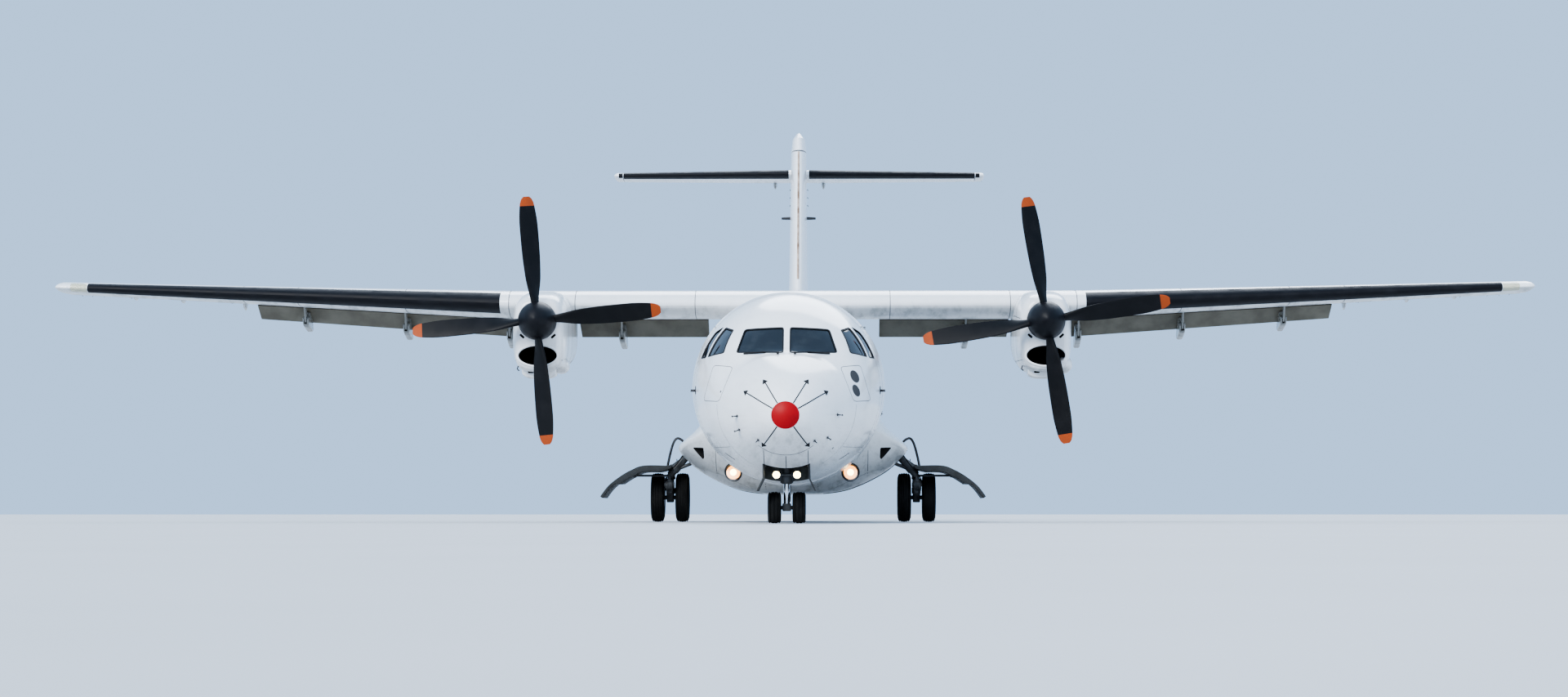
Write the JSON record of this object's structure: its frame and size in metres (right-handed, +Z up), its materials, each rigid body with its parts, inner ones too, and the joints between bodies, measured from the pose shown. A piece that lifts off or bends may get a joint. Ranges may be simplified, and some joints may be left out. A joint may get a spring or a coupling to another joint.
{
  "type": "turboprop airliner",
  "caption": "High-wing regional airliner on its landing gear, with propellers under the wing, a cruciform tail, part-lowered flaps and hinged doors.",
  "frame": {"origin": "on the ground, under the middle of the overall length and span", "axes": "+X to port, along the span; -Y towards the nose; +Z up"},
  "size_m": [24.57, 22.67, 7.59],
  "materials": {
    "white_paint": "glossy white paint",
    "white_alloy": "glossy white paint over light skins",
    "red_paint": "worn red paint",
    "dull_metal": "dull grey-brown paint",
    "gear_paint": "light grey paint",
    "chrome": "polished",
    "black_composite": "matte black",
    "dark_iron": "dark metal",
    "tyre": "rubber",
    "glass": "tinted",
    "cabin_plastic": "matte"
  },
  "bodies": {
    "airframe": {"nose_cap": "red_paint", "radome": "white_paint", "cockpit_section": "white_paint", "flight_deck": "cabin_plastic", "fuselage_centre": "white_paint", "fuselage_rear": "white_alloy", "belly_fairing": "white_paint", "service_door": "white_paint", "wing_centre": "white_paint", "fin": "white_alloy", "stabiliser": "white_alloy", "nose_leg": "gear_paint", "windshield_port": "glass", "windshield_starboard": "glass", "window_side_forward_port": "glass", "window_side_forward_starboard": "glass", "window_side_rear_port": "glass", "window_side_rear_starboard": "glass", "wing_outer_port": "white_paint", "wing_outer_starboard": "white_paint", "engine_cowl_port": "white_paint", "engine_cowl_starboard": "white_paint", "engine_block_port": "dark_iron", "engine_block_starboard": "dark_iron", "nacelle_rear_port": "white_paint", "nacelle_rear_starboard": "white_paint", "main_leg_port": "gear_paint", "main_leg_starboard": "gear_paint", "main_trailing_arm_port": "gear_paint", "main_trailing_arm_starboard": "gear_paint", "main_gear_door_port": "white_paint", "main_gear_door_starboard": "white_paint", "nose_gear_door_port": "white_paint", "nose_gear_door_starboard": "white_paint"},
    "nose_steering": {"nose_piston": "chrome"},
    "nose_wheels": {"nose_hubs": "gear_paint", "nose_tyre_port": "tyre", "nose_tyre_starboard": "tyre"},
    "rudder": {"rudder": "white_alloy"},
    "airstair_door": {"airstair_door": "white_paint"},
    "cargo_door": {"cargo_door": "white_paint"},
    "propeller_port": {"spinner_port": "black_composite", "propeller_blades_port": "black_composite"},
    "main_wheels_port": {"main_hubs_port": "gear_paint", "main_tyre_inner_port": "tyre", "main_tyre_outer_port": "tyre"},
    "flap_inner_port": {"flap_inner_port": "dull_metal"},
    "flap_outer_port": {"flap_outer_port": "dull_metal"},
    "aileron_port": {"aileron_port": "white_paint"},
    "elevator_port": {"elevator_port": "white_alloy"},
    "propeller_starboard": {"spinner_starboard": "black_composite", "propeller_blades_starboard": "black_composite"},
    "main_wheels_starboard": {"main_hubs_starboard": "gear_paint", "main_tyre_inner_starboard": "tyre", "main_tyre_outer_starboard": "tyre"},
    "flap_inner_starboard": {"flap_inner_starboard": "dull_metal"},
    "flap_outer_starboard": {"flap_outer_starboard": "dull_metal"},
    "aileron_starboard": {"aileron_starboard": "white_paint"},
    "elevator_starboard": {"elevator_starboard": "white_alloy"}
  },
  "joints": [
    {"name": "propeller_spin_port", "type": "hinge", "parent": "airframe", "child": "propeller_port", "pos_m": [4.05, -3.78, 3.205], "axis": [0, -1, 0], "continuous": true},
    {"name": "main_wheel_spin_port", "type": "hinge", "parent": "airframe", "child": "main_wheels_port", "pos_m": [2.05, -0.85, 0.4065], "axis": [1, 0, 0], "continuous": true},
    {"name": "propeller_spin_starboard", "type": "hinge", "parent": "airframe", "child": "propeller_starboard", "pos_m": [-4.05, -3.78, 3.205], "axis": [0, -1, 0], "continuous": true},
    {"name": "main_wheel_spin_starboard", "type": "hinge", "parent": "airframe", "child": "main_wheels_starboard", "pos_m": [-2.05, -0.85, 0.4065], "axis": [1, 0, 0], "continuous": true},
    {"name": "nose_steer", "type": "hinge", "parent": "airframe", "child": "nose_steering", "pos_m": [0, -9.63, 0.5], "axis": [0, 0, 1], "range_deg": [-60, 60]},
    {"name": "nose_wheel_spin", "type": "hinge", "parent": "nose_steering", "child": "nose_wheels", "pos_m": [0, -9.63, 0.225], "axis": [1, 0, 0], "continuous": true},
    {"name": "flap_inner_port_hinge", "type": "hinge", "parent": "airframe", "child": "flap_inner_port", "pos_m": [1.45, -0.16182, 3.18908], "axis": [-1, 0, 0], "range_deg": [-25, 10]},
    {"name": "flap_outer_port_hinge", "type": "hinge", "parent": "airframe", "child": "flap_outer_port", "pos_m": [4.7, -0.16272, 3.19236], "axis": [-0.9977, 0.018, -0.0654], "range_deg": [-25, 10]},
    {"name": "aileron_port_hinge", "type": "hinge", "parent": "airframe", "child": "aileron_port", "pos_m": [9.16, -0.21485, 3.75483], "axis": [0.9988, -0.0203, 0.0437], "range_deg": [-15, 15]},
    {"name": "elevator_port_hinge", "type": "hinge", "parent": "airframe", "child": "elevator_port", "pos_m": [0, 10.665, 6.8], "axis": [0.9999, -0.0134, 0], "range_deg": [-16, 24]},
    {"name": "flap_inner_starboard_hinge", "type": "hinge", "parent": "airframe", "child": "flap_inner_starboard", "pos_m": [-1.45, -0.16182, 3.18908], "axis": [-1, 0, 0], "range_deg": [-25, 10]},
    {"name": "flap_outer_starboard_hinge", "type": "hinge", "parent": "airframe", "child": "flap_outer_starboard", "pos_m": [-4.7, -0.16272, 3.19236], "axis": [-0.9977, -0.018, 0.0654], "range_deg": [-25, 10]},
    {"name": "aileron_starboard_hinge", "type": "hinge", "parent": "airframe", "child": "aileron_starboard", "pos_m": [-9.16, -0.21485, 3.75483], "axis": [0.9988, 0.0203, -0.0437], "range_deg": [-15, 15]},
    {"name": "elevator_starboard_hinge", "type": "hinge", "parent": "airframe", "child": "elevator_starboard", "pos_m": [0, 10.665, 6.8], "axis": [0.9999, 0.0134, 0], "range_deg": [-16, 24]},
    {"name": "rudder_hinge", "type": "hinge", "parent": "airframe", "child": "rudder", "pos_m": [0, 9.445, 3.3], "axis": [0, 0.2296, 0.9733], "range_deg": [-27, 27]},
    {"name": "airstair_hinge", "type": "hinge", "parent": "airframe", "child": "airstair_door", "pos_m": [1.285, 4.24, 1.4], "axis": [0, 1, 0], "range_deg": [0, 125]},
    {"name": "cargo_door_hinge", "type": "hinge", "parent": "airframe", "child": "cargo_door", "pos_m": [1.128, -7.35, 2.89], "axis": [0, -1, 0], "range_deg": [0, 110]}
  ],
  "couplings": [
    {"joint": "flap_outer_port_hinge", "follows": "flap_inner_port_hinge", "ratio": 1},
    {"joint": "flap_inner_starboard_hinge", "follows": "flap_inner_port_hinge", "ratio": 1},
    {"joint": "flap_outer_starboard_hinge", "follows": "flap_inner_port_hinge", "ratio": 1},
    {"joint": "aileron_starboard_hinge", "follows": "aileron_port_hinge", "ratio": -1},
    {"joint": "elevator_starboard_hinge", "follows": "elevator_port_hinge", "ratio": 1}
  ]
}
